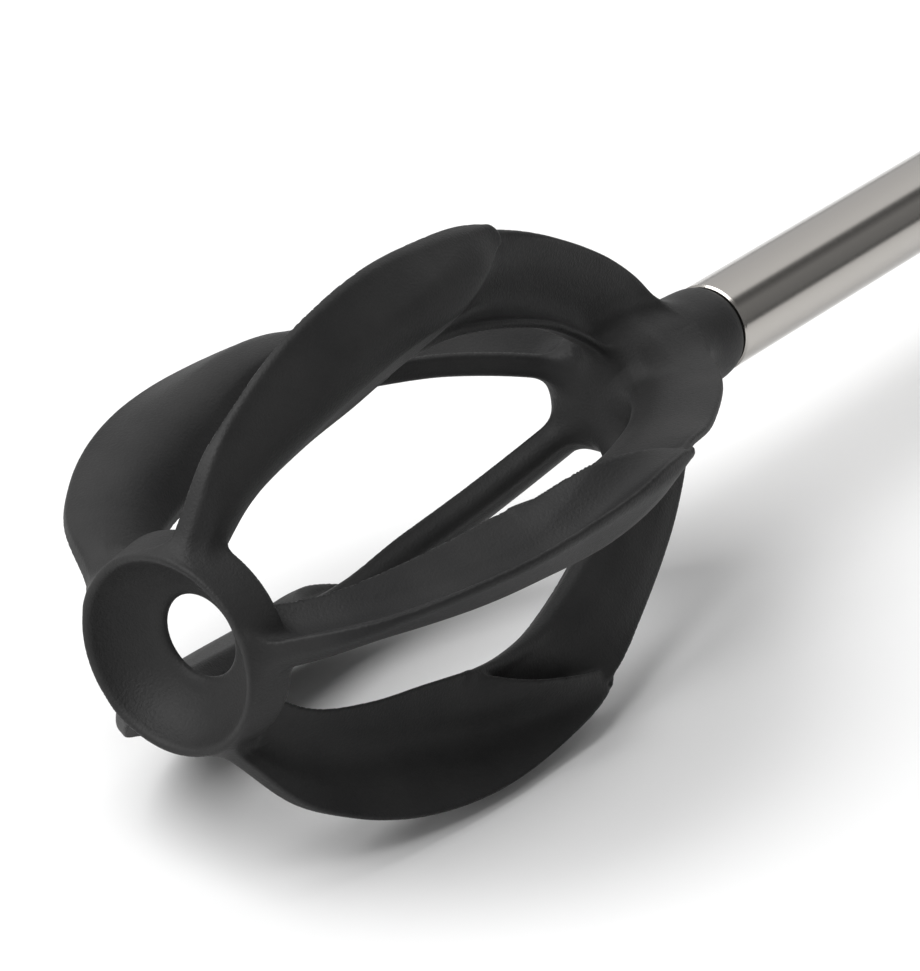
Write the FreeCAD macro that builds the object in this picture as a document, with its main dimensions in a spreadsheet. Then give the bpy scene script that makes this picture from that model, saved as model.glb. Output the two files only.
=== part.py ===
import FreeCAD, Part
import os
import Sketcher

# A rigid stirring tool. A moulded cage head, a steel tube and a steel drive shank lie on one
# spin axis, +X, which points out of the free end of the shank. The origin is on that axis at the
# shoulder of the shank. The head is drawn from its own front lip, x = 0, and every node is then
# moved back by the reach of the tool. All sizes are in millimetres.

doc = FreeCAD.newDocument("mixer")
Vector = FreeCAD.Vector
X_AXIS = Vector(1, 0, 0)
Y_AXIS = Vector(0, 1, 0)
Z_AXIS = Vector(0, 0, 1)

# ---------------------------------------------------------------- driving dimensions

SIZES = {
    "arm_count": 5,
    "blade_thickness": 2.7,
    # funnel ring at the front: its outside, and two places on the bowl's curve
    "ring_length": 8.2,
    "ring_lip_radius": 14.2,
    "ring_rear_radius": 15.1,
    "ring_edge": 0.8,
    "ring_lip_edge": 0.4,
    "ring_bowl_radius": 13.2,
    "bowl_upper_x": 2.1,
    "bowl_upper_radius": 12.1,
    "bowl_lower_x": 4.5,
    "bowl_lower_radius": 9.6,
    "ring_hole_radius": 5.5,
    "ring_hole_land": 0.8,
    # step at the rear end of each scoop
    "corner_x": 46.6,
    "corner_r": 22.6,
    "end_wall": 2.4,
    # hub, collar and the spigot inside the tube
    "dome_x": 98.4,
    "dome_crown_x": 99.0,
    "dome_crown_radius": 5.4,
    "dome_shoulder_x": 100.8,
    "dome_shoulder_radius": 8.9,
    "dome_radius": 9.8,
    "dome_depth": 6.0,
    "collar_root_radius": 8.7,
    "collar_root_x": 113.0,
    "head_length": 129.0,
    "collar_end_radius": 6.95,
    "spigot_radius": 5.95,
    "spigot_length": 21.0,
    "spigot_edge": 1.0,
    # steel tube
    "tube_radius": 7.0,
    "tube_wall": 1.0,
    "tube_length": 165.0,
    "tube_edge": 0.3,
    # drive shank
    "plug_radius": 5.95,
    "plug_length": 26.0,
    "plug_edge": 0.8,
    "shoulder_length": 3.0,
    "shoulder_edge": 0.6,
    "shank_radius": 5.0,
    "shank_plain": 16.0,
    "shank_gripped": 22.0,
    "shank_gripped_radius": 4.75,
    "shank_flat_depth": 0.85,
    "shank_chamfer": 0.8,
    # slotted spring pin
    "pin_radius": 1.5,
    "pin_bore_radius": 0.95,
    "pin_slot": 0.6,
    "pin_setback": 13.0,
    "pin_below_wall": 0.2,
}

# Sections of a scoop across the spin axis. Each is a shallow V: its outer edge and inner edge
# lie in the arm's own radial plane, and its ridge stands out to one side by ridge_side.
STATIONS = (
    # x, outer_r, ridge_r, ridge_side, inner_r
    (1.5, 15.6, 11.0, 2.5, 8.0),
    (9.0, 25.4, 15.6, 2.8, 9.6),
    (17.0, 31.2, 21.6, 3.2, 15.2),
    (28.0, 36.3, 26.6, 3.9, 18.6),
    (41.0, 39.6, 30.2, 4.2, 21.6),
    (53.0, 39.8, 32.7, 4.5, 22.6),
    (64.0, 38.4, 34.2, 2.9, 22.9),
    (73.6, 35.3, 33.7, 0.6, 22.9),
)
STATION_PARTS = ("x", "outer_r", "ridge_r", "ridge_side", "inner_r")

# Meridian points of the rear step, from the inner corner out to the tip, after the corner itself.
STEP_POINTS = ((54.9, 27.2), (63.6, 31.6), (71.8, 34.6))
# Meridian points of the rear arm, outer edge back to the hub and inner edge forward again.
REAR_OUTER = ((77.9, 33.2), (89.4, 28.2), (97.0, 24.1), (102.0, 20.9), (109.0, 15.6), (116.0, 9.2))
REAR_INNER = ((116.0, 4.0), (104.0, 2.0), (95.5, 9.5), (90.0, 13.3), (83.0, 16.9), (76.6, 19.5),
              (69.5, 21.9), (62.4, 23.4), (54.5, 23.7))


def fill_sheet():
    """Put each driving dimension in a sheet cell under its own name."""
    sheet = doc.addObject("Spreadsheet::Sheet", "sizes")
    values = dict(SIZES)
    for number, station in enumerate(STATIONS, start=1):
        for part_name, value in zip(STATION_PARTS, station):
            values["station_%d_%s" % (number, part_name)] = value
    for prefix, points in (("step", STEP_POINTS), ("rear_outer", REAR_OUTER), ("rear_inner", REAR_INNER)):
        for number, (along, radial) in enumerate(points, start=1):
            values["%s_%d_x" % (prefix, number)] = along
            values["%s_%d_r" % (prefix, number)] = radial
    for row, (name, value) in enumerate(values.items(), start=1):
        sheet.set("A%d" % row, name.replace("_", " "))
        sheet.set("B%d" % row, str(value))
        sheet.setAlias("B%d" % row, name)
    doc.recompute()
    return sheet


sheet = fill_sheet()


def value_of(expression):
    """The number that an expression of the sheet's names gives now."""
    return float(sheet.evalExpression(expression))


# ---------------------------------------------------------------- shared builders

def bound_outline(name, points, placement):
    """A closed sketch of straight edges. Each point is two expressions of the sheet's names."""
    sketch = doc.addObject("Sketcher::SketchObject", name)
    sketch.Placement = placement
    corners = [Vector(value_of(across), value_of(up), 0) for across, up in points]
    edges = []
    for start, end in zip(corners, corners[1:] + corners[:1]):
        edges.append(sketch.addGeometry(Part.LineSegment(start, end), False))
    for edge, following in zip(edges, edges[1:] + edges[:1]):
        sketch.addConstraint(Sketcher.Constraint("Coincident", edge, 2, following, 1))
    for edge, corner, point in zip(edges, corners, points):
        for kind, now, expression in (("DistanceX", corner.x, point[0]), ("DistanceY", corner.y, point[1])):
            index = sketch.addConstraint(Sketcher.Constraint(kind, -1, 1, edge, 1, now))
            sketch.setExpression("Constraints[%d]" % index, in_sheet(expression))
    return sketch


def in_sheet(expression):
    """The same expression with the sheet's name before each of its cells."""
    words = []
    word = ""
    for letter in expression + " ":
        if letter.isalnum() or letter == "_":
            word += letter
            continue
        words.append("sizes." + word if word in CELL_NAMES else word)
        words.append(letter)
        word = ""
    return "".join(words).strip()


CELL_NAMES = set(SIZES)
for number in range(1, len(STATIONS) + 1):
    CELL_NAMES.update("station_%d_%s" % (number, part_name) for part_name in STATION_PARTS)
for prefix, points in (("step", STEP_POINTS), ("rear_outer", REAR_OUTER), ("rear_inner", REAR_INNER)):
    for number in range(1, len(points) + 1):
        CELL_NAMES.update(("%s_%d_x" % (prefix, number), "%s_%d_r" % (prefix, number)))

# A meridian sketch has the spin axis along and the radius up. The top arm lies in the same plane.
MERIDIAN = FreeCAD.Placement(Vector(), FreeCAD.Rotation(X_AXIS, 90))


def turned(name, points):
    """A solid of revolution about the spin axis."""
    solid = doc.addObject("Part::Revolution", name)
    solid.Source = bound_outline(name + "_profile", points, MERIDIAN)
    solid.Axis = X_AXIS
    solid.Angle = 360
    solid.Solid = True
    return solid


def slab(name, points, half_width, side_shift="0"):
    """A meridian outline made thick across the arm's plane, half_width to each side."""
    solid = doc.addObject("Part::Extrusion", name)
    solid.Base = bound_outline(name + "_outline", points, MERIDIAN)
    solid.DirMode = "Custom"
    solid.Dir = Y_AXIS
    solid.Solid = True
    solid.setExpression("LengthFwd", in_sheet("(%s) - (%s)" % (half_width, side_shift)))
    solid.setExpression("LengthRev", in_sheet("(%s) + (%s)" % (half_width, side_shift)))
    return solid


def cut(name, base, tool):
    """Base without tool."""
    result = doc.addObject("Part::Cut", name)
    result.Base = base
    result.Tool = tool
    return result


def common(name, base, tool):
    """What base and tool share."""
    result = doc.addObject("Part::Common", name)
    result.Base = base
    result.Tool = tool
    return result


def fuse(name, *pieces):
    """The pieces as one solid."""
    result = doc.addObject("Part::MultiFuse", name)
    result.Shapes = list(pieces)
    result.Refine = True
    return result


NODES = []
REACH = "head_length + tube_length + shoulder_length"


def place_node(label, source, turn_degrees=0):
    """A named sub-part: the source turned about the spin axis and moved back by the reach."""
    node = doc.addObject("Part::Compound", label)
    node.Label = label
    node.Links = [source]
    turn = FreeCAD.Rotation(X_AXIS, turn_degrees)
    node.Placement = FreeCAD.Placement(Vector(-value_of(REACH), 0, 0), turn)
    node.setExpression("Placement.Base.x", in_sheet("-(%s)" % REACH))
    NODES.append(node)
    return node


# ---------------------------------------------------------------- cage head

def ring_outline(with_funnel):
    """Half section of the front ring: a bowl that narrows to a through hole, or a filled ring."""
    outside = [("ring_length", "ring_rear_radius - ring_edge"),
               ("ring_length - ring_edge", "ring_rear_radius"),
               ("ring_lip_edge", "ring_lip_radius"),
               ("0", "ring_lip_radius - ring_lip_edge")]
    if not with_funnel:
        return [("ring_length", "0")] + outside + [("0", "0")]
    bowl = [("0", "ring_bowl_radius"),
            ("bowl_upper_x", "bowl_upper_radius"),
            ("bowl_lower_x", "bowl_lower_radius"),
            ("ring_length - ring_hole_land", "ring_hole_radius"),
            ("ring_length", "ring_hole_radius")]
    return outside + bowl


def station_outline(number, hollow):
    """Section of a scoop at one station: the V with its flat back, or the room inside the V."""
    def at(part_name):
        return "station_%d_%s" % (number, part_name)
    half = "blade_thickness / 2"
    if not hollow:
        return [("-" + half, at("outer_r")), (half, at("outer_r") + " - 0.3"),
                (at("ridge_side") + " + " + half, at("ridge_r") + " + 1.2"),
                (at("ridge_side") + " + " + half, at("ridge_r") + " - 1.2"),
                (half, at("inner_r") + " + 0.3"), ("-" + half, at("inner_r"))]
    return [("-4 * blade_thickness", at("outer_r") + " - blade_thickness"),
            ("-" + half, at("outer_r") + " - blade_thickness"),
            (at("ridge_side") + " - 0.6 * blade_thickness", at("ridge_r") + " + 0.9"),
            (at("ridge_side") + " - 0.6 * blade_thickness", at("ridge_r") + " - 0.9"),
            ("-" + half, at("inner_r") + " + blade_thickness * 0.9"),
            ("-4 * blade_thickness", at("inner_r") + " + blade_thickness * 0.9")]


def scoop_loft(name, hollow, first):
    """A loft through the stations' sections, from station first to the last."""
    loft = doc.addObject("Part::Loft", name)
    across_axis = FreeCAD.Rotation(Vector(0, -1, 0), Z_AXIS, Vector(-1, 0, 0), "XYZ")
    sections = []
    for number in range(first, len(STATIONS) + 1):
        plane = FreeCAD.Placement(Vector(value_of("station_%d_x" % number), 0, 0), across_axis)
        section = bound_outline("%s_section_%d" % (name, number), station_outline(number, hollow), plane)
        section.setExpression("Placement.Base.x", "sizes.station_%d_x" % number)
        sections.append(section)
    loft.Sections = sections
    loft.Solid = True
    loft.Ruled = True
    return loft


def step_points(setback):
    """The rear step from the inner corner to the tip, moved forward by an expression."""
    points = [("corner_x - (%s)" % setback, "corner_r")]
    for number in range(1, len(STEP_POINTS) + 1):
        points.append(("step_%d_x - (%s)" % (number, setback), "step_%d_r" % number))
    return points


def front_of_step(name, setback):
    """All the room in front of the rear step, as a wide slab."""
    points = step_points(setback)
    tip_x = "step_%d_x + 1.2 - (%s)" % (len(STEP_POINTS), setback)
    outline = [("-5", "-5"), ("corner_x - (%s)" % setback, "-5")] + points
    outline += [(tip_x, "step_%d_r + 0.6" % len(STEP_POINTS)), (tip_x, "60"), ("-5", "60")]
    return slab(name, outline, "12")


def rear_arm_outline():
    """Meridian outline of the rear arm: the step, the outer edge, the hub end, the inner edge."""
    points = step_points("0")
    points += [("rear_outer_%d_x" % n, "rear_outer_%d_r" % n) for n in range(1, len(REAR_OUTER) + 1)]
    points += [("rear_inner_%d_x" % n, "rear_inner_%d_r" % n) for n in range(1, len(REAR_INNER) + 1)]
    return points


HUB_OUTLINE = [("dome_x", "0"), ("dome_crown_x", "dome_crown_radius"),
               ("dome_shoulder_x", "dome_shoulder_radius"), ("dome_x + dome_depth", "dome_radius"),
               ("collar_root_x", "collar_root_radius"), ("head_length", "collar_end_radius"),
               ("head_length", "spigot_radius"), ("head_length + spigot_length - spigot_edge", "spigot_radius"),
               ("head_length + spigot_length", "spigot_radius - spigot_edge"),
               ("head_length + spigot_length", "0")]

ring = turned("ring", ring_outline(with_funnel=True))
ring_filled = turned("ring_filled", ring_outline(with_funnel=False))
hub = turned("hub", HUB_OUTLINE)

scoop_filled = scoop_loft("scoop_filled", hollow=False, first=1)
scoop_room = scoop_loft("scoop_room", hollow=True, first=2)
scoop_body = common("scoop_body", scoop_filled, front_of_step("front_of_step", "0"))
scoop_hollow = common("scoop_hollow", scoop_room, front_of_step("front_of_end_wall", "end_wall"))
scoop_open = cut("scoop_open", scoop_body, scoop_hollow)
scoop = cut("scoop", scoop_open, ring_filled)
rear_plate = slab("rear_plate", rear_arm_outline(), "blade_thickness / 2")
rear_arm = cut("rear_arm", rear_plate, hub)

# ---------------------------------------------------------------- tube, shank and pin

TUBE_OUTLINE = [("head_length", "tube_radius - tube_wall"),
                ("head_length", "tube_radius - tube_edge"),
                ("head_length + tube_edge", "tube_radius"),
                ("head_length + tube_length - tube_edge", "tube_radius"),
                ("head_length + tube_length", "tube_radius - tube_edge"),
                ("head_length + tube_length", "tube_radius - tube_wall")]
TUBE_END = "head_length + tube_length"
SHOULDER = "head_length + tube_length + shoulder_length"
FLATS_START = SHOULDER + " + shank_plain"
SHANK_END = FLATS_START + " + shank_gripped"
SHANK_OUTLINE = [(TUBE_END + " - plug_length", "0"),
                 (TUBE_END + " - plug_length", "plug_radius - plug_edge"),
                 (TUBE_END + " - plug_length + plug_edge", "plug_radius"),
                 (TUBE_END, "plug_radius"),
                 (TUBE_END, "tube_radius"),
                 (SHOULDER + " - shoulder_edge", "tube_radius"),
                 (SHOULDER, "tube_radius - shoulder_edge"),
                 (SHOULDER, "shank_radius"),
                 (FLATS_START, "shank_radius"),
                 (FLATS_START, "shank_gripped_radius"),
                 (SHANK_END + " - shank_chamfer", "shank_gripped_radius"),
                 (SHANK_END, "shank_gripped_radius - shank_chamfer"),
                 (SHANK_END, "0")]


def box(name, base_x, base_y, base_z, length, width, height):
    """A Part box whose corner and sides are expressions."""
    block = doc.addObject("Part::Box", name)
    for prop, expression in (("Placement.Base.x", base_x), ("Placement.Base.y", base_y),
                             ("Placement.Base.z", base_z), ("Length", length),
                             ("Width", width), ("Height", height)):
        block.setExpression(prop, in_sheet(expression))
    return block


def cross_cylinder(name, radius):
    """An upright cylinder right through the tube at the pin's place."""
    cylinder = doc.addObject("Part::Cylinder", name)
    cylinder.setExpression("Placement.Base.x", in_sheet(TUBE_END + " - pin_setback"))
    cylinder.setExpression("Placement.Base.z", in_sheet("-tube_radius"))
    cylinder.setExpression("Radius", in_sheet(radius))
    cylinder.setExpression("Height", in_sheet("2 * tube_radius"))
    return cylinder


tube_blank = turned("tube_blank", TUBE_OUTLINE)
shank_blank = turned("shank_blank", SHANK_OUTLINE)
pin_hole = cross_cylinder("pin_hole", "pin_radius")
tube = cut("tube", tube_blank, pin_hole)

flats = []
for index in range(3):
    flat = box("shank_flat_%d" % (index + 1), FLATS_START, "-shank_radius",
               "shank_radius - shank_flat_depth", "shank_gripped", "2 * shank_radius", "shank_radius")
    turned_flat = doc.addObject("Part::Compound", "turned_flat_%d" % (index + 1))
    turned_flat.Links = [flat]
    turned_flat.Placement = FreeCAD.Placement(Vector(), FreeCAD.Rotation(X_AXIS, 120 * index))
    flats.append(turned_flat)
shank_tools = fuse("shank_tools", pin_hole, *flats)
shank = cut("shank", shank_blank, shank_tools)

pin_body = cross_cylinder("pin_body", "pin_radius")
pin_bore = cross_cylinder("pin_bore", "pin_bore_radius")
pin_slot = box("pin_slot_box", TUBE_END + " - pin_setback", "-pin_slot / 2", "-tube_radius",
               "2 * pin_radius", "pin_slot", "2 * tube_radius")
pin_rolled = cut("pin_rolled", pin_body, fuse("pin_tools", pin_bore, pin_slot))
PIN_REACH = "tube_radius - pin_below_wall"
pin_ends = turned("pin_ends", [("head_length", "0"), ("head_length", PIN_REACH),
                               (TUBE_END, PIN_REACH), (TUBE_END, "0")])
pin = common("pin", pin_rolled, pin_ends)

# ---------------------------------------------------------------- named nodes

place_node("front_ring", ring)
place_node("hub_collar", hub)
for index in range(SIZES["arm_count"]):
    turn_degrees = 360.0 * index / SIZES["arm_count"]
    place_node("front_scoop_%d" % (index + 1), scoop, turn_degrees)
    place_node("rear_arm_%d" % (index + 1), rear_arm, turn_degrees)
place_node("drive_tube", tube)
place_node("drive_shank", shank)
place_node("spring_pin", pin)

doc.recompute()

for item in doc.Objects:
    if "Invalid" in item.State or "Error" in item.State:
        raise RuntimeError("%s failed to build: %s" % (item.Name, item.State))
os.makedirs("parts", exist_ok=True)
for node in NODES:
    shape = node.Shape
    if shape.isNull() or not shape.isValid() or len(shape.Solids) != 1 or shape.Volume <= 0:
        raise RuntimeError("%s is not one valid solid: %d solids" % (node.Label, len(shape.Solids)))
for node in NODES:
    node.Shape.exportStep("parts/%s.step" % node.Label)
    bounds = node.Shape.BoundBox
    print("%-16s volume %9.1f mm3, x %7.1f to %7.1f" % (node.Label, node.Shape.Volume, bounds.XMin, bounds.XMax))
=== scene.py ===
import math

import bpy
import numpy as np
from mathutils import Matrix, Vector


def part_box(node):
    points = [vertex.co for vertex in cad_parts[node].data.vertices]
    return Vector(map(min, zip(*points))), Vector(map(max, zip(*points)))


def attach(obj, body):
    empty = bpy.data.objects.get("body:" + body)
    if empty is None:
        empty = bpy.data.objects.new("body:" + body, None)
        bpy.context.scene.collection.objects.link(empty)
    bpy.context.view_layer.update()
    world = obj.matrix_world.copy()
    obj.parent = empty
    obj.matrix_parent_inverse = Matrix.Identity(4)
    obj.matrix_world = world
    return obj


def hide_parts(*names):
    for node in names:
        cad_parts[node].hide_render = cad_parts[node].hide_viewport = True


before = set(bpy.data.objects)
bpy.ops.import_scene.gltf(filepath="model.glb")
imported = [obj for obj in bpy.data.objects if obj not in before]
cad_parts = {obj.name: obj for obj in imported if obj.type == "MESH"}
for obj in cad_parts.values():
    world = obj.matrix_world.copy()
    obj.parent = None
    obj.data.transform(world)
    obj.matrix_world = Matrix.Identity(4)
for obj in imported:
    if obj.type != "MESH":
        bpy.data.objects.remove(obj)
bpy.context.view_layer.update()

MM = 0.001
ARM_COUNT = 5
SECTOR = 2 * math.pi / ARM_COUNT

# The head is drawn in millimetres from its front lip: "along" is the distance behind the lip on
# the spin axis and "radial" the distance from that axis. These places come from the CAD frame.
LIP_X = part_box("front_ring")[0].x
HEAD_LENGTH = (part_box("drive_tube")[0].x - LIP_X) / MM


# ------------------------------------------------------------------ curves and outlines

def smooth_line(points, per_span=14):
    """A smooth polyline through a few points (a centripetal Catmull-Rom curve)."""
    p = np.array(points, float)
    p = np.vstack([2 * p[0] - p[1], p, 2 * p[-1] - p[-2]])
    line = []
    for a, b, c, d in zip(p[:-3], p[1:-2], p[2:-1], p[3:]):
        spans = [max(np.linalg.norm(v - u), 1e-6) ** 0.5 for u, v in ((a, b), (b, c), (c, d))]
        k0, k1, k2, k3 = np.cumsum([0] + spans)
        k = np.linspace(k1, k2, per_span, endpoint=False)[:, None]
        ab = (k1 - k) / (k1 - k0) * a + (k - k0) / (k1 - k0) * b
        bc = (k2 - k) / (k2 - k1) * b + (k - k1) / (k2 - k1) * c
        cd = (k3 - k) / (k3 - k2) * c + (k - k2) / (k3 - k2) * d
        abc = (k2 - k) / (k2 - k0) * ab + (k - k0) / (k2 - k0) * bc
        bcd = (k3 - k) / (k3 - k1) * bc + (k - k1) / (k3 - k1) * cd
        line.append((k2 - k) / (k2 - k1) * abc + (k - k1) / (k2 - k1) * bcd)
    line.append(p[-2][None])
    return np.vstack(line)


def value_along(points, along):
    """A smooth value of the distance along the axis, given at a few places."""
    line = smooth_line(points)
    return np.interp(along, line[:, 0], line[:, 1])


def outline_distance(along, radial, outline):
    """Signed distance of each place in a meridian plane from a closed outline, negative inside."""
    nearest = np.full(along.shape, 1e9)
    crossed = np.zeros(along.shape, bool)
    for (x0, y0), (x1, y1) in zip(outline, np.roll(outline, -1, axis=0)):
        dx, dy = x1 - x0, y1 - y0
        length2 = dx * dx + dy * dy
        if length2 < 1e-12:
            continue
        part = np.clip(((along - x0) * dx + (radial - y0) * dy) / length2, 0, 1)
        gap = (along - x0 - part * dx) ** 2 + (radial - y0 - part * dy) ** 2
        nearest = np.minimum(nearest, gap)
        if dy != 0:
            passes = ((y0 <= radial) != (y1 <= radial)) & (along < x0 + (radial - y0) * dx / dy)
            crossed ^= passes
    distance = np.sqrt(nearest)
    return np.where(crossed, -distance, distance)


def smooth_min(a, b, reach):
    """The lower of two fields, with a fillet of about that reach where they meet."""
    mix = np.maximum(reach - np.abs(a - b), 0) / reach
    return np.minimum(a, b) - mix * mix * reach / 4


def smooth_max(a, b, reach):
    return -smooth_min(-a, -b, reach)


# ------------------------------------------------------------------ the moulded head, as a field

# Outer edge of a scoop, from its root on the ring to its tip, and its inner edge the other way.
SCOOP_OUTER = ((1.2, 13.2), (4.2, 18.0), (9.2, 25.7), (16.5, 31.2), (24.5, 35.2), (33.0, 37.8),
               (42.0, 39.2), (50.0, 39.4), (58.4, 38.8), (66.0, 37.7), (70.8, 36.6))
SCOOP_TIP = ((70.8, 36.6), (72.7, 35.9), (73.6, 34.6), (73.1, 33.5), (71.6, 33.3))
SCOOP_END = ((71.6, 33.3), (64.0, 31.6), (54.9, 28.3), (46.8, 22.9))
SCOOP_INNER = ((46.8, 22.9), (38.1, 21.2), (27.6, 19.2), (17.4, 15.8), (9.0, 9.8), (5.0, 7.4),
               (1.2, 7.4))
# The V of a scoop's section: how far its outer edge, its ridge and its inner edge stand to the
# side, and the ridge's distance from the axis.
OUTER_SIDE = ((0.0, 0.0), (4.2, 0.1), (16.5, -0.3), (24.5, -0.6), (33.0, -0.8), (42.0, -1.2),
              (50.0, -1.4), (58.4, -1.3), (66.0, -1.1), (72.5, -0.8), (80.0, -0.8))
RIDGE_RADIAL = ((0.0, 8.5), (7.6, 14.0), (15.4, 20.6), (28.6, 26.8), (40.3, 30.2), (52.0, 32.6),
                (64.0, 34.0), (74.0, 34.0))
RIDGE_SIDE = ((0.0, 2.4), (7.6, 2.8), (15.4, 3.3), (28.6, 4.5), (40.3, 4.9), (52.0, 5.0),
              (64.0, 3.2), (72.0, 0.8), (76.0, 0.3))
INNER_SIDE = ((0.0, -1.6), (7.6, -1.5), (17.4, -1.1), (27.6, -0.9), (38.1, -0.8), (46.6, -0.8),
              (53.0, -0.6), (76.0, 0.0))
V_ROUNDING = 4.6
SIDE_LIMITS = (-4, 8)
# The hollow side of the V fills up towards the rear cut: the side where the rim of that end stands,
# how far in front of the cut the filling starts, and the places along the axis where it sets in.
RIM_SIDE = ((40.0, -1.4), (46.0, -2.0), (50.0, -2.9), (54.0, -3.8), (58.0, -4.3), (62.0, -4.3),
            (66.0, -3.8), (70.0, -2.6), (73.0, -0.6), (78.0, 0.6))
RIM_REACH = 13.0
FILL_START = (38, 50)

REAR_OUTER = ((62.5, 35.0), (71.0, 35.2), (77.9, 33.3), (83.7, 31.0), (89.4, 28.2), (95.5, 24.9),
              (101.8, 21.0), (108.5, 15.9), (114.0, 10.6), (118.5, 6.0))
REAR_INNER = ((104.0, 2.0), (99.6, 5.9), (95.3, 9.6), (90.0, 13.3), (83.5, 17.0), (76.6, 19.8),
              (69.5, 22.1), (62.4, 23.6), (54.5, 24.1), (46.8, 23.4))
REAR_FRONT = ((46.8, 23.4), (45.6, 25.2), (54.0, 30.0), (62.2, 33.6), (62.5, 35.0))
# Side of the rear arm's plate from its inner edge (0) to its outer edge (1).
REAR_SIDE = ((0.0, -0.3), (0.12, -1.0), (0.35, -1.6), (0.7, -1.2), (1.0, -0.5))
# The turned-up inner edge of the rear arm: the sides it stands between and its depth.
FLANGE_SIDE = (-0.6, 2.4)
FLANGE_DEPTH = 1.3

# Turned shapes, as outlines in a meridian plane.
HUB_FACE = 98.4
HUB_OUTLINE = ((HUB_FACE, 0.0), (98.2, 4.5), (98.8, 7.6), (101.0, 9.7), (104.5, 10.2), (109.0, 9.4),
               (114.0, 8.5), (121.0, 7.7), (127.6, 7.1), (129.0, 6.3))
SPIGOT_RADIUS = 5.9
SPIGOT_SHOWN = 2
RING_REAR = 8.2
RING_OUTLINE = ((0.0, 0.0), (0.0, 13.8), (0.3, 14.2), (6.9, 15.1), (7.7, 14.8), (RING_REAR, 14.0),
                (RING_REAR, 0.0))
BOWL_LIP = 13.3
HOLE_RADIUS = 5.5
BOWL_LINE = ((0.0, BOWL_LIP), (1.6, 12.6), (3.3, 11.5), (4.9, 9.9), (6.2, 8.0), (7.2, 6.1),
             (8.6, HOLE_RADIUS))
PAST_AXIS = -9

# Half thicknesses of the sheets, which taper to their edges.
BLADE_HALF = 1.2
BLADE_OUTER_HALF = 0.6
BLADE_END_HALF = 1.5
BLADE_INNER_HALF = 1.25
PLATE_HALF = 0.9
PLATE_OUTER_HALF = 0.65
EDGE_TAPER = 5.0
ROOT_HALF = 1.7
ROOT_SPAN = (6, 16)
END_SPAN = 9
# The rear plate starts level with the scoop, a little to the hollow side, and leaves it gradually.
PLATE_BLEND = 13.0
PLATE_DROP = 0.9

# Rounding of edges, and reach of the fillets where two shapes meet.
SHEET_ROUNDING = 0.5
FLANGE_ROUNDING = 0.45
FLANGE_FILLET = 1.6
ARM_FILLET = 0.6
RING_FILLET = 2.2
HUB_FILLET = 3.5
COLLAR_END_FILLET = 0.3
LIP_FILLET = 0.8

# The maps' grid, and the layers in them. A sheet has four: edge, side, half thickness and cosine.
MAP_STEP = 0.2
MAP_START = -3
MAP_RADIUS = 44
RING, BOWL, HUB, SCOOP, REAR, INNER_LINE, FLANGE = 0, 1, 2, 3, 7, 11, 12

BLOCK = 8
BLOCK_MARGIN = 2.2


def slope_cosine(height):
    """How much a leaning sheet is thinned when it is measured straight across."""
    lean_along, lean_radial = np.gradient(height, MAP_STEP)
    return 1 / np.sqrt(1 + lean_along ** 2 + lean_radial ** 2)


def smoothstep(low, high, value):
    part = np.clip((value - low) / (high - low), 0, 1)
    return part * part * (3 - 2 * part)


def scoop_sheet(along, radial):
    """A scoop over its own radial plane: outline, side, half thickness, and side if not filled."""
    outline = np.vstack([smooth_line(SCOOP_OUTER), smooth_line(SCOOP_TIP), smooth_line(SCOOP_END),
                         smooth_line(SCOOP_INNER)])
    edge = outline_distance(along, radial, outline)
    outer = value_along(SCOOP_OUTER + ((80.0, 35.0),), along)
    inner = value_along(tuple(reversed(SCOOP_INNER)) + ((60.0, 22.4), (80.0, 22.4)), along)
    ridge = value_along(RIDGE_RADIAL, along)
    outer_side = value_along(OUTER_SIDE, along)
    ridge_side = value_along(RIDGE_SIDE, along)
    inner_side = value_along(INNER_SIDE, along)
    down_outer = (outer - radial) / np.maximum(outer - ridge, 1.8)
    down_inner = (ridge - radial) / np.maximum(ridge - inner, 3.0)
    outer_leg = outer_side + (ridge_side - outer_side) * down_outer
    inner_leg = ridge_side + (inner_side - ridge_side) * down_inner
    side = np.clip(smooth_min(outer_leg, inner_leg, V_ROUNDING), *SIDE_LIMITS)
    outward = smoothstep(0, EDGE_TAPER, outer - radial)
    inward = 1 - smoothstep(0, EDGE_TAPER, radial - inner)
    at_end = 1 - smoothstep(0, END_SPAN, -behind_cut(along, radial))
    at_root = 1 - smoothstep(*ROOT_SPAN, along)
    half = BLADE_OUTER_HALF + (BLADE_HALF - BLADE_OUTER_HALF) * outward
    half = half + (BLADE_END_HALF - BLADE_HALF) * outward * at_end
    half = half + (BLADE_INNER_HALF - BLADE_HALF) * inward
    half = half + (ROOT_HALF - BLADE_HALF) * at_root
    near = np.clip(1 + behind_curve(along, radial) / RIM_REACH, 0, 1) ** 2
    near = near * smoothstep(*FILL_START, along)
    fill = np.maximum(side - half - value_along(RIM_SIDE, along), 0) * near
    return edge, side - fill / 2, half + fill / 2, side


def behind_cut(along, radial):
    """Distance behind the straight line that a scoop's rear cut follows."""
    (x0, y0), (x1, y1) = SCOOP_END[1], SCOOP_END[3]
    across = (along - x1) * (y0 - y1) - (radial - y1) * (x0 - x1)
    return across / math.hypot(x1 - x0, y1 - y0)


def near_cut(along, radial):
    """1 in front of the rear cut, falling to 0 where the rear arm has left the scoop's side."""
    return 1 - smoothstep(0.5, PLATE_BLEND, behind_cut(along, radial))


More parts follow.
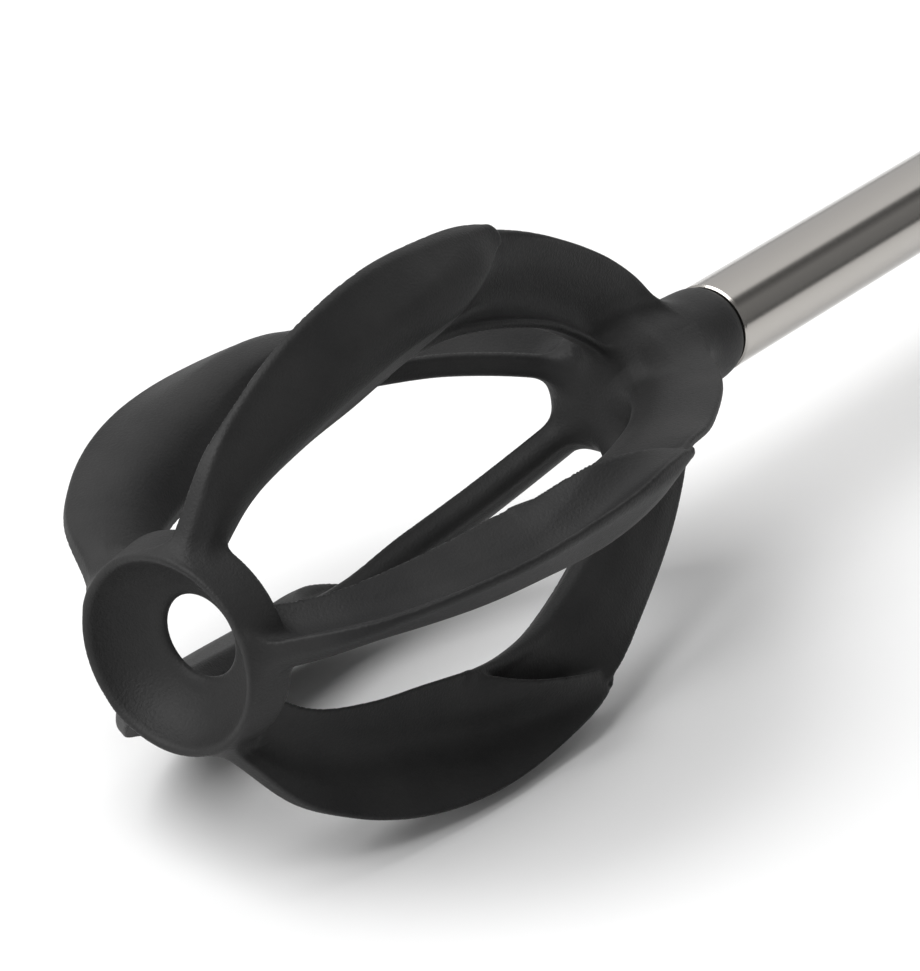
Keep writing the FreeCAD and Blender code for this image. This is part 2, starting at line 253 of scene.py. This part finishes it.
def rear_sheet(along, radial, scoop_side):
    """Outline, side and half thickness of the rear arm's plate, which starts within the scoop."""
    outline = np.vstack([smooth_line(REAR_OUTER), smooth_line(REAR_INNER), smooth_line(REAR_FRONT)])
    edge = outline_distance(along, radial, outline)
    outer = value_along(((40.0, 34.5),) + REAR_OUTER, along)
    inner = value_along(((40.0, 22.7),) + tuple(reversed(REAR_INNER)), along)
    across = np.clip((radial - inner) / np.maximum(outer - inner, 4.0), 0, 1)
    side = value_along(REAR_SIDE, across)
    side = side + (scoop_side - PLATE_DROP - side) * near_cut(along, radial)
    outward = smoothstep(0, EDGE_TAPER, outer - radial)
    half = PLATE_OUTER_HALF + (PLATE_HALF - PLATE_OUTER_HALF) * outward
    return edge, side, half


def behind_curve(along, radial):
    """Signed distance behind the curve of a scoop's rear cut."""
    far_corners = [(-40.0, -20.0), (-40.0, 90.0), (90.0, 90.0), (90.0, 37.4)]
    in_front = np.vstack([smooth_line(SCOOP_END), far_corners])
    return outline_distance(along, radial, in_front)


def flange_middle(along, radial, rear_side):
    """Middle of the turned-up inner edge of the rear arm, which starts from the plate."""
    middle = sum(FLANGE_SIDE) / 2
    return middle + (rear_side + 0.4 - middle) * near_cut(along, radial)


def head_maps():
    """Every layer of the head that depends only on the place in a meridian plane."""
    along = np.arange(MAP_START, HEAD_LENGTH + 6, MAP_STEP)
    radial = np.arange(0, MAP_RADIUS, MAP_STEP)
    along, radial = np.meshgrid(along, radial, indexing="ij")
    ring = np.array(RING_OUTLINE + ((RING_REAR, PAST_AXIS), (0.0, PAST_AXIS)))
    bowl = np.vstack([smooth_line(BOWL_LINE), [(14, HOLE_RADIUS), (14, PAST_AXIS), (-4, PAST_AXIS),
                                               (-4, BOWL_LIP)]])
    spigot_end = HEAD_LENGTH + SPIGOT_SHOWN
    hub = np.vstack([smooth_line(HUB_OUTLINE),
                     [(HEAD_LENGTH, SPIGOT_RADIUS), (spigot_end, SPIGOT_RADIUS),
                      (spigot_end, PAST_AXIS), (HUB_FACE, PAST_AXIS)]])
    layers = [outline_distance(along, radial, outline) for outline in (ring, bowl, hub)]
    scoop = scoop_sheet(along, radial)
    rear = rear_sheet(along, radial, scoop[3])
    for edge, side, half in (scoop[:3], rear):
        layers += [edge, side, half, slope_cosine(side)]
    inner_line = np.vstack([smooth_line(REAR_INNER), [(46.6, 60.0), (130.0, 60.0), (130.0, 2.0)]])
    layers += [outline_distance(along, radial, inner_line), flange_middle(along, radial, rear[1])]
    return np.stack(layers, axis=-1).astype(np.float32)


def read_map(maps, along, radial):
    """The maps' layers at each place, between the grid's points."""
    u = np.clip((along - MAP_START) / MAP_STEP, 0, maps.shape[0] - 1.001)
    v = np.clip(radial / MAP_STEP, 0, maps.shape[1] - 1.001)
    i, j = u.astype(np.int32), v.astype(np.int32)
    u, v = (u - i)[..., None], (v - j)[..., None]
    near = maps[i, j] * (1 - v) + maps[i, j + 1] * v
    far = maps[i + 1, j] * (1 - v) + maps[i + 1, j + 1] * v
    return near * (1 - u) + far * u


def sheet_field(edge, side, half, cosine, across, rounding):
    """Distance from a sheet of that half thickness with rounded edges."""
    over = np.abs(across - side) * cosine - half + rounding
    out = edge + rounding
    outside = np.hypot(np.maximum(over, 0), np.maximum(out, 0))
    return outside + np.minimum(np.maximum(over, out), 0) - rounding


def head_field(points, maps):
    """Signed distance, in millimetres, of points (along, left, up) from the moulded head."""
    along, y, z = points[..., 0], points[..., 1], points[..., 2]
    radius = np.hypot(y, z)
    # the angle about the axis from the top arm, turned into the nearest arm's own sector
    angle = np.arctan2(-y, z)
    angle = (angle + SECTOR / 2) % SECTOR - SECTOR / 2
    across, radial = radius * np.sin(angle), radius * np.cos(angle)
    arm = read_map(maps, along, radial)
    turned = read_map(maps[..., :3], along, radius)
    scoop, rear = [sheet_field(*np.moveaxis(arm[..., k:k + 4], -1, 0), across, SHEET_ROUNDING)
                   for k in (SCOOP, REAR)]
    inner_line, flange_side = arm[..., INNER_LINE], arm[..., FLANGE]
    flange_edge = np.maximum(np.maximum(inner_line, -inner_line - FLANGE_DEPTH), arm[..., REAR])
    flange_half = (FLANGE_SIDE[1] - FLANGE_SIDE[0]) / 2
    flange = sheet_field(flange_edge, flange_side, flange_half, 1.0, across, FLANGE_ROUNDING)
    rear = smooth_min(rear, flange, FLANGE_FILLET)
    body = smooth_min(scoop, rear, ARM_FILLET)
    body = smooth_min(body, turned[..., RING], RING_FILLET)
    body = smooth_min(body, turned[..., HUB], HUB_FILLET)
    body = smooth_max(body, along - (HEAD_LENGTH + 1), COLLAR_END_FILLET)
    body = smooth_max(body, -along, LIP_FILLET)
    return smooth_max(body, -turned[..., BOWL], LIP_FILLET)


def surface_net(field, low, step):
    """Vertices and quads of a grid field's zero surface."""
    inside = field < 0
    shape = tuple(n - 1 for n in field.shape)
    count = np.zeros(shape, np.int8)
    corners = [(a, b, c) for a in (0, 1) for b in (0, 1) for c in (0, 1)]
    for a, b, c in corners:
        count += inside[a:a + shape[0], b:b + shape[1], c:c + shape[2]]
    active = (count > 0) & (count < 8)
    cells = np.argwhere(active)
    number = np.full(shape, -1, np.int64)
    number[active] = np.arange(len(cells))
    total = np.zeros((len(cells), 3))
    crossings = np.zeros(len(cells))
    for axis in range(3):
        step_along = np.eye(3, dtype=int)[axis]
        for corner in corners:
            if corner[axis]:
                continue
            start = cells + corner
            end = start + step_along
            f0, f1 = field[tuple(start.T)], field[tuple(end.T)]
            crosses = (f0 < 0) != (f1 < 0)
            part = np.where(crosses, f0 / np.where(crosses, f0 - f1, 1), 0)
            total += (np.array(corner) + part[:, None] * step_along) * crosses[:, None]
            crossings += crosses
    points = (cells + total / crossings[:, None]) * step + low
    quads = []
    for axis in range(3):
        one, two = [k for k in range(3) if k != axis]
        before = np.take(inside, range(field.shape[axis] - 1), axis)
        after = np.take(inside, range(1, field.shape[axis]), axis)
        edges = np.argwhere(before != after)
        edges = edges[(edges[:, one] > 0) & (edges[:, two] > 0)]
        edges = edges[edges[:, one] < field.shape[one] - 1]
        edges = edges[edges[:, two] < field.shape[two] - 1]
        leaving = before[tuple(edges.T)]
        ring = []
        for back_one, back_two in ((1, 1), (0, 1), (0, 0), (1, 0)):
            cell = edges.copy()
            cell[:, one] -= back_one
            cell[:, two] -= back_two
            ring.append(number[tuple(cell.T)])
        quad = np.stack(ring, axis=1)
        flip = leaving if axis == 1 else ~leaving
        quad[flip] = quad[flip][:, ::-1]
        quads.append(quad)
    return points, np.vstack(quads)


def settle(points, maps, rounds=3):
    """Move each vertex straight onto the field's zero surface."""
    shift = 0.1
    for _ in range(rounds):
        here = head_field(points, maps)
        rise = [head_field(points + axis, maps) - head_field(points - axis, maps)
                for axis in np.eye(3) * shift]
        slope = np.stack(rise, axis=-1) / (2 * shift)
        steep = np.maximum((slope ** 2).sum(-1), 0.3)
        move = -here[:, None] * slope / steep[:, None]
        points = points + np.clip(move, -0.3, 0.3)
    return points


def new_mesh(name, points, faces):
    mesh = bpy.data.meshes.new(name)
    mesh.from_pydata(points.tolist(), [], faces.tolist())
    mesh.validate()
    mesh.shade_smooth()
    piece = bpy.data.objects.new(name, mesh)
    bpy.context.scene.collection.objects.link(piece)
    return piece


def sampled_field(maps, low, high, step):
    """The head's field on a grid, in full only in the blocks that its surface may cross."""
    blocks = np.ceil((high - low) / (step * BLOCK)).astype(int)
    index = np.stack(np.meshgrid(*[np.arange(n) for n in blocks], indexing="ij"), axis=-1)
    middle = head_field(low + (index + 0.5) * BLOCK * step, maps)
    field = np.repeat(np.repeat(np.repeat(middle, BLOCK, 0), BLOCK, 1), BLOCK, 2).astype(np.float32)
    crossed = index[np.abs(middle) < BLOCK * step * BLOCK_MARGIN]
    inner = np.stack(np.meshgrid(*[np.arange(BLOCK)] * 3, indexing="ij"), axis=-1)
    for batch in np.array_split(crossed, max(len(crossed) // 800, 1)):
        place = batch[:, None, None, None, :] * BLOCK + inner
        field[tuple(np.moveaxis(place, -1, 0))] = head_field(low + place * step, maps)
    return field


def make_head(step):
    """The whole moulding as one mesh: ring, scoops, rear arms, hub and collar."""
    maps = head_maps()
    low = np.array([-1.5, -42.0, -42.0])
    high = np.array([HEAD_LENGTH + 2.0, 42.0, 42.0])
    field = sampled_field(maps, low, high, step)
    points, quads = surface_net(field, low, step)
    points = settle(points, maps)
    points = points * MM + (LIP_X, 0, 0)
    return new_mesh("cage_head", points, quads)


HEAD_STEP = 0.4
head = make_head(HEAD_STEP)
head_nodes = ["front_ring", "hub_collar"]
for arm_number in range(1, ARM_COUNT + 1):
    head_nodes += ["front_scoop_%d" % arm_number, "rear_arm_%d" % arm_number]
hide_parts(*head_nodes)
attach(head, "root")


# ------------------------------------------------------------------ materials

def new_material(name):
    material = bpy.data.materials.new(name)
    material.use_nodes = True
    nodes, links = material.node_tree.nodes, material.node_tree.links
    return material, nodes, links, nodes["Principled BSDF"]


def moulded_polymer():
    material, nodes, links, shader = new_material("moulded_polymer")
    place = nodes.new("ShaderNodeTexCoord")
    grain = nodes.new("ShaderNodeTexNoise")
    grain.inputs["Scale"].default_value = 2600
    grain.inputs["Detail"].default_value = 3
    links.new(place.outputs["Object"], grain.inputs["Vector"])
    bump = nodes.new("ShaderNodeBump")
    bump.inputs["Strength"].default_value = 0.6
    bump.inputs["Distance"].default_value = 0.00015
    links.new(grain.outputs["Fac"], bump.inputs["Height"])
    links.new(bump.outputs["Normal"], shader.inputs["Normal"])
    cloud = nodes.new("ShaderNodeTexNoise")
    cloud.inputs["Scale"].default_value = 60
    cloud.inputs["Detail"].default_value = 4
    links.new(place.outputs["Object"], cloud.inputs["Vector"])
    tone = nodes.new("ShaderNodeValToRGB")
    tone.color_ramp.elements[0].position = 0.3
    tone.color_ramp.elements[0].color = (0.011, 0.011, 0.0113, 1)
    tone.color_ramp.elements[1].position = 0.75
    tone.color_ramp.elements[1].color = (0.024, 0.0238, 0.0236, 1)
    links.new(cloud.outputs["Fac"], tone.inputs["Fac"])
    links.new(tone.outputs["Color"], shader.inputs["Base Color"])
    gloss = nodes.new("ShaderNodeMapRange")
    gloss.inputs["To Min"].default_value = 0.48
    gloss.inputs["To Max"].default_value = 0.66
    links.new(grain.outputs["Fac"], gloss.inputs["Value"])
    links.new(gloss.outputs["Result"], shader.inputs["Roughness"])
    shader.inputs["Specular IOR Level"].default_value = 0.26
    return material


def satin_steel(name, color, roughness):
    material, nodes, links, shader = new_material(name)
    shader.inputs["Metallic"].default_value = 1.0
    shader.inputs["Base Color"].default_value = (*color, 1)
    place = nodes.new("ShaderNodeTexCoord")
    stretch = nodes.new("ShaderNodeMapping")
    stretch.inputs["Scale"].default_value = (6000, 250, 250)
    links.new(place.outputs["Object"], stretch.inputs["Vector"])
    lines = nodes.new("ShaderNodeTexNoise")
    lines.inputs["Scale"].default_value = 1
    lines.inputs["Detail"].default_value = 4
    links.new(stretch.outputs["Vector"], lines.inputs["Vector"])
    bump = nodes.new("ShaderNodeBump")
    bump.inputs["Strength"].default_value = 0.25
    bump.inputs["Distance"].default_value = 0.00002
    links.new(lines.outputs["Fac"], bump.inputs["Height"])
    links.new(bump.outputs["Normal"], shader.inputs["Normal"])
    spread = nodes.new("ShaderNodeMapRange")
    spread.inputs["To Min"].default_value = roughness - 0.05
    spread.inputs["To Max"].default_value = roughness + 0.07
    links.new(lines.outputs["Fac"], spread.inputs["Value"])
    links.new(spread.outputs["Result"], shader.inputs["Roughness"])
    return material


def paint(piece, material):
    piece.data.materials.clear()
    piece.data.materials.append(material)


paint(head, moulded_polymer())
tube_steel = satin_steel("satin_steel", (0.45, 0.43, 0.405), 0.17)
for node_name, material in (("drive_tube", tube_steel),
                            ("drive_shank", satin_steel("turned_steel", (0.50, 0.50, 0.51), 0.3)),
                            ("spring_pin", satin_steel("spring_steel", (0.16, 0.16, 0.17), 0.4))):
    paint(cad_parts[node_name], material)


# ------------------------------------------------------------------ floor, light and camera

# The floor is level, just under the lowest scoop, so that no view from the side is hidden by it.
FLOOR_HALF = 6.0
FLOOR_CLEARANCE = 0.0002
floor_level = min(v.co.z for v in head.data.vertices) - FLOOR_CLEARANCE
floor_mesh = bpy.data.meshes.new("floor")
corners = [(x, y, floor_level) for x, y in ((-FLOOR_HALF, -FLOOR_HALF), (FLOOR_HALF, -FLOOR_HALF),
                                            (FLOOR_HALF, FLOOR_HALF), (-FLOOR_HALF, FLOOR_HALF))]
floor_mesh.from_pydata(corners, [], [(0, 1, 2, 3)])
floor = bpy.data.objects.new("floor", floor_mesh)
bpy.context.scene.collection.objects.link(floor)
floor_material, nodes, links, shader = new_material("pale_floor")
shader.inputs["Base Color"].default_value = (0.86, 0.86, 0.86, 1)
shader.inputs["Roughness"].default_value = 0.6
shader.inputs["Specular IOR Level"].default_value = 0.2
floor.data.materials.append(floor_material)


def studio_world():
    """White overhead with a dark gap and a dim right side, for the steel to reflect."""
    world = bpy.data.worlds.new("studio")
    bpy.context.scene.world = world
    world.use_nodes = True
    nodes, links = world.node_tree.nodes, world.node_tree.links
    place = nodes.new("ShaderNodeTexCoord")
    split = nodes.new("ShaderNodeSeparateXYZ")
    links.new(place.outputs["Generated"], split.inputs[0])
    turn = nodes.new("ShaderNodeMath")
    turn.operation = "ARCTAN2"
    links.new(split.outputs["Z"], turn.inputs[0])
    links.new(split.outputs["Y"], turn.inputs[1])
    share = nodes.new("ShaderNodeMath")
    share.operation = "DIVIDE"
    share.inputs[1].default_value = math.pi
    links.new(turn.outputs[0], share.inputs[0])
    ramp = nodes.new("ShaderNodeValToRGB")
    links.new(share.outputs[0], ramp.inputs["Fac"])
    # share of the turn from the left horizon over the top to the right one, and the level there
    stops = ((0.0, 0.30), (0.06, 0.65), (0.56, 1.0), (0.60, 0.15), (0.66, 0.12), (0.75, 0.30),
             (0.92, 0.24), (0.98, 0.10))
    elements = ramp.color_ramp.elements
    while len(elements) < len(stops):
        elements.new(0.5)
    for element, (position, level) in zip(elements, stops):
        element.position = position
        element.color = (level, level, level, 1)
    background = nodes["Background"]
    links.new(ramp.outputs["Color"], background.inputs["Color"])
    background.inputs["Strength"].default_value = 1.0


studio_world()

HEAD_CENTRE = Vector((LIP_X + 0.5 * HEAD_LENGTH * MM, 0, 0))


def area_light(name, offset, size, power):
    lamp = bpy.data.lights.new(name, "AREA")
    lamp.shape = "RECTANGLE"
    lamp.size, lamp.size_y = size
    lamp.energy = power
    light = bpy.data.objects.new(name, lamp)
    light.location = HEAD_CENTRE + Vector(offset)
    light.rotation_euler = (-Vector(offset)).to_track_quat("-Z", "Y").to_euler()
    bpy.context.scene.collection.objects.link(light)


area_light("overhead", (-1.3, 0.6, 2.3), (2.6, 2.6), 84)

CAMERA_PLACE = Vector((-0.69182, -0.32453, 0.28443))
CAMERA_HEADING = -54.81
CAMERA_FALL = 26.88
CAMERA_ROLL = 1.49
camera_data = bpy.data.cameras.new("camera")
camera_data.lens = 167.2
camera_data.sensor_width = 36
camera = bpy.data.objects.new("camera", camera_data)
camera.matrix_world = (Matrix.Translation(CAMERA_PLACE)
                       @ Matrix.Rotation(math.radians(CAMERA_HEADING), 4, "Z")
                       @ Matrix.Rotation(math.radians(90 - CAMERA_FALL), 4, "X")
                       @ Matrix.Rotation(math.radians(CAMERA_ROLL), 4, "Z"))
bpy.context.scene.collection.objects.link(camera)
bpy.context.scene.camera = camera
bpy.context.scene.view_settings.view_transform = "Standard"
